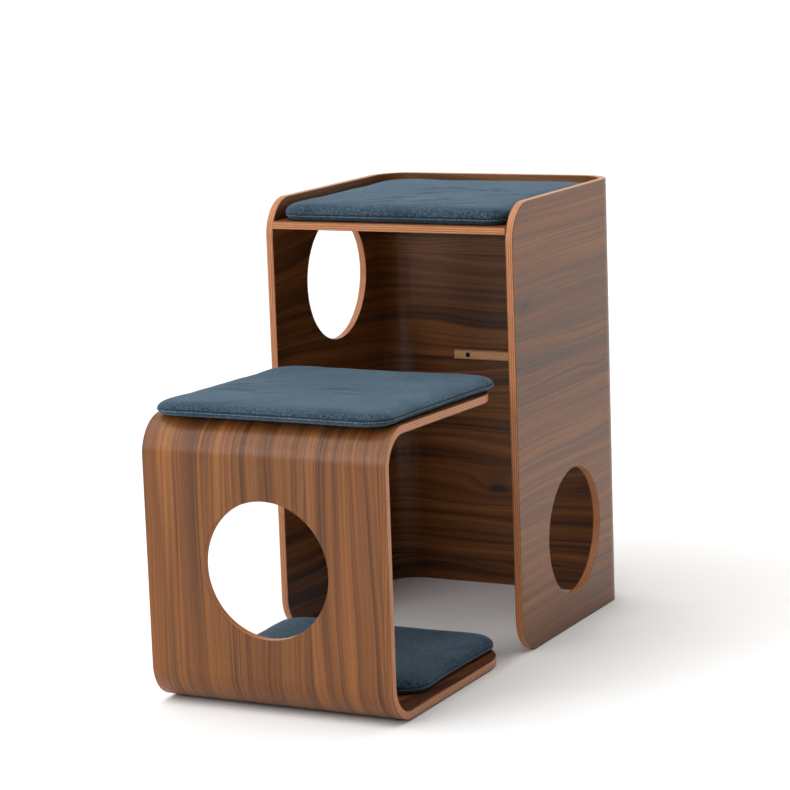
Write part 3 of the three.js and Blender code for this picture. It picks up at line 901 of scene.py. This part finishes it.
def line_mesh(points, closed):
    """A mesh of points joined in order."""
    line = bpy.data.meshes.new("line")
    count = len(points)
    edges = [(i, (i + 1) % count) for i in range(count if closed else count - 1)]
    line.from_pydata(points, edges, [])
    return line


def stitch_row():
    """Node tree that lays stitches end to end, with small gaps, along a sewn line."""
    tree, given = new_tree(
        "stitch_row",
        ("Line", "Geometry"),
        ("Pitch", "Float"),
        ("Stitch length", "Float"),
        ("Thread radius", "Float"),
        ("Thread", "Material"),
    )
    line = given["Line"]
    sewn = line.node("GeometryNodeMeshToCurve", None, {"Mesh": line})
    spacing = {"Curve": sewn, "Length": given["Pitch"]}
    marks = sewn.node("GeometryNodeResampleCurve", {"mode": "LENGTH"}, spacing)
    stitch = line.node("GeometryNodeMeshUVSphere", None, {"Segments": 6, "Rings": 5, "Radius": 1.0})
    run = line.node("GeometryNodeInputTangent")
    turned = run.node("FunctionNodeAlignRotationToVector", {"axis": "X"}, {"Vector": run})
    half, thread = given["Stitch length"] * 0.5, given["Thread radius"]
    laid = {"Instance": stitch, "Rotation": turned, "Scale": half.vector(half, thread, thread)}
    put = marks.node("GeometryNodeInstanceOnPoints", None, {"Points": marks, **laid})
    return close_tree(tree, put, given["Thread"])


STITCHES = stitch_row()
THREAD = spun_thread()
WOOL = wool_cloth()


def sew_cushion(name, body, corner, rim, crown, folds, tilt=0.0):
    """Makes one cushion where its CAD cover is, tilted about X: the swollen cover with its seam, and
    the row of topstitches. Gives the line that the zip follows, and where the cushion stands."""
    low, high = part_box(name + "_cover")
    width = high.x - low.x
    depth = (high.y - low.y - CUSHION * abs(math.sin(tilt))) / math.cos(tilt)
    turned = Matrix.Translation((low + high) / 2) @ Matrix.Rotation(tilt, 4, "X")
    stand = turned @ Matrix.Translation((0, 0, -CUSHION / 2))

    cushion = bpy.data.objects.new(name, foam_block(width, depth, corner, rim))
    scene.collection.objects.link(cushion)
    cells = cushion.modifiers.new("cells", "REMESH")
    cells.mode = "VOXEL"
    cells.voxel_size = LOOM
    settled(cushion)
    swell(cushion)
    dress(cushion.data, width, depth, crown, folds)
    finer = cushion.modifiers.new("finer", "SUBSURF")
    finer.levels = finer.render_levels = 1
    settled(cushion)
    stitch_line, zip_line = seamed(cushion.data)
    loft = cushion.data.attributes.new("loft", "FLOAT", "POINT")
    for vert in cushion.data.vertices:
        loft.data[vert.index].value = vert.co.z
    cushion.data.transform(stand)
    cushion.data.materials.append(WOOL)
    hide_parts(name + "_cover", name + "_foam")
    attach(cushion, body)

    row = run_tree(
        name + "_topstitch",
        line_mesh(stitch_line, closed=True),
        STITCHES,
        stand,
        pitch=STITCH_PITCH,
        stitch_length=STITCH_LENGTH,
        thread_radius=THREAD_RADIUS,
        thread=THREAD,
    )
    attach(row, body)
    return zip_line, stand


TRAY_CORNER, STEP_CORNER = 0.040, 0.045
shelf_line = sew_cushion(
    "shelf_cushion",
    "shelf_cushion",
    TRAY_CORNER,
    rim=0.0235,
    crown=0.0022,
    folds=slack_folds(seed=4, count=16, spot=(0.03, -0.06), spread=0.10),
)
top_line = sew_cushion(
    "step_top_cushion",
    "step_top_cushion",
    STEP_CORNER,
    rim=0.0180,
    crown=0.0008,
    folds=slack_folds(seed=7, count=6, spot=(-0.02, 0.0), spread=0.12),
    tilt=-TOP_DROOP,
)
lower_line = sew_cushion(
    "step_lower_cushion",
    "step_lower_cushion",
    STEP_CORNER,
    rim=0.0190,
    crown=0.0010,
    folds=slack_folds(seed=9, count=5, spot=(0.0, 0.0), spread=0.10),
)

# ---- Zips --------------------------------------------------------------------------------------
# A nylon coil zip in the rear side of each cover: a woven tape, its coil as a row of fine teeth, and
# a moulded slider with its pull at one end. It is all dyed dark like the cloth.

TAPE_WIDTH = 0.0085
TAPE_THICKNESS = 0.0007
COIL_PITCH = 0.0016
TAPE_RIBS = 5200.0       # turn of the ribs' wave up a metre
TOOTH_LENGTH = 0.0034
ZIP_PROUD = 0.0004
SLIDER = Vector((0.0085, 0.0024, 0.0056))
SLIDER_EASE = 0.0007
PULL = Vector((0.0180, 0.0010, 0.0038))
PULL_EASE = 0.0004
SLIDER_PLACE = Vector((-0.0040, 0.0012, 0.0))      # from the end of the tape
PULL_PLACE = Vector((-0.0120, 0.0014, 0.0))        # from the slider
NYLON_DARK = (0.018, 0.030, 0.045)
NYLON_LIGHT = (0.045, 0.065, 0.090)


def nylon():
    """Dyed nylon with the tape's fine ribs."""
    material, place, feed = finish("dyed_nylon", specular_ior_level=0.45)
    height = place.part(2)
    rib = height.math("SINE", height * TAPE_RIBS) * 0.5 + 0.5
    speck = place.scaled(900.0).cloud(2.0, 0.6)
    colour = (rib * 0.5 + speck * 0.5).colours((0.25, NYLON_DARK), (0.8, NYLON_LIGHT))
    feed(base_color=colour, roughness=0.45 + rib * 0.25, normal=rib.bump(0.0002, 0.5))
    return material


def coil_row():
    """Node tree that lays teeth across a line at an even pitch."""
    tree, given = new_tree(
        "coil_row",
        ("Line", "Geometry"),
        ("Pitch", "Float"),
        ("Tooth length", "Float"),
        ("Nylon", "Material"),
    )
    line = given["Line"]
    run = line.node("GeometryNodeMeshToCurve", None, {"Mesh": line})
    pitch, length = given["Pitch"], given["Tooth length"]
    marks = run.node("GeometryNodeResampleCurve", {"mode": "LENGTH"}, {"Curve": run, "Length": pitch})
    tooth = line.node("GeometryNodeMeshUVSphere", None, {"Segments": 6, "Rings": 4, "Radius": 1.0})
    teeth = {"Instance": tooth, "Scale": pitch.vector(pitch * 0.42, pitch * 0.55, length * 0.5)}
    put = marks.node("GeometryNodeInstanceOnPoints", None, {"Points": marks, **teeth})
    return close_tree(tree, put, given["Nylon"])


def add_box(form, middle, size, bevel):
    """Adds a rounded block to a form."""
    made = bmesh.ops.create_cube(form, size=1.0, matrix=Matrix.LocRotScale(middle, None, size))
    edges = {edge for vert in made["verts"] for edge in vert.link_edges}
    bmesh.ops.bevel(form, geom=list(edges), offset=bevel, segments=3, profile=0.5, affect="EDGES")


def zip_tape(line):
    """The tape along a line at the rear of a cushion, with the slider at its end."""
    form = bmesh.new()
    section = [
        Vector((0, proud * TAPE_THICKNESS, side * TAPE_WIDTH / 2))
        for side, proud in ((-1, 0), (-1, 1), (1, 1), (1, 0))
    ]
    rows = [[form.verts.new(point + corner) for corner in section] for point in line]
    for a, b in zip(rows, rows[1:]):
        for i in range(4):
            j = (i + 1) % 4
            form.faces.new((a[i], a[j], b[j], b[i]))
    form.faces.new(rows[0])
    form.faces.new(list(reversed(rows[-1])))
    slider = line[-1] + SLIDER_PLACE
    add_box(form, slider, SLIDER, SLIDER_EASE)
    add_box(form, slider + PULL_PLACE, PULL, PULL_EASE)
    bmesh.ops.recalc_face_normals(form, faces=form.faces)
    mesh = bpy.data.meshes.new("zip_tape")
    form.to_mesh(mesh)
    form.free()
    return mesh


COIL = coil_row()
NYLON = nylon()
zip_places = {"shelf_cushion": shelf_line, "step_top_cushion": top_line, "step_lower_cushion": lower_line}
for name, (loop, stand) in zip_places.items():
    low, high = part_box(name + "_zip")
    half = (high.x - low.x) / 2
    rear = [point for point in loop if point.y > 0 and abs(point.x) < half]
    line = [point + Y * ZIP_PROUD for point in sorted(rear, key=lambda point: point.x)]
    tape_mesh = zip_tape(line)
    tape_mesh.transform(stand)
    tape_mesh.materials.append(NYLON)
    tape = bpy.data.objects.new(name + "_zip_tape", tape_mesh)
    scene.collection.objects.link(tape)
    coil_line = [point + Y * TAPE_THICKNESS for point in line]
    coil = run_tree(
        name + "_zip_coil",
        line_mesh(coil_line, closed=False),
        COIL,
        stand,
        pitch=COIL_PITCH,
        tooth_length=TOOTH_LENGTH,
        nylon=NYLON,
    )
    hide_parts(name + "_zip")
    for piece in (tape, coil):
        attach(piece, name)
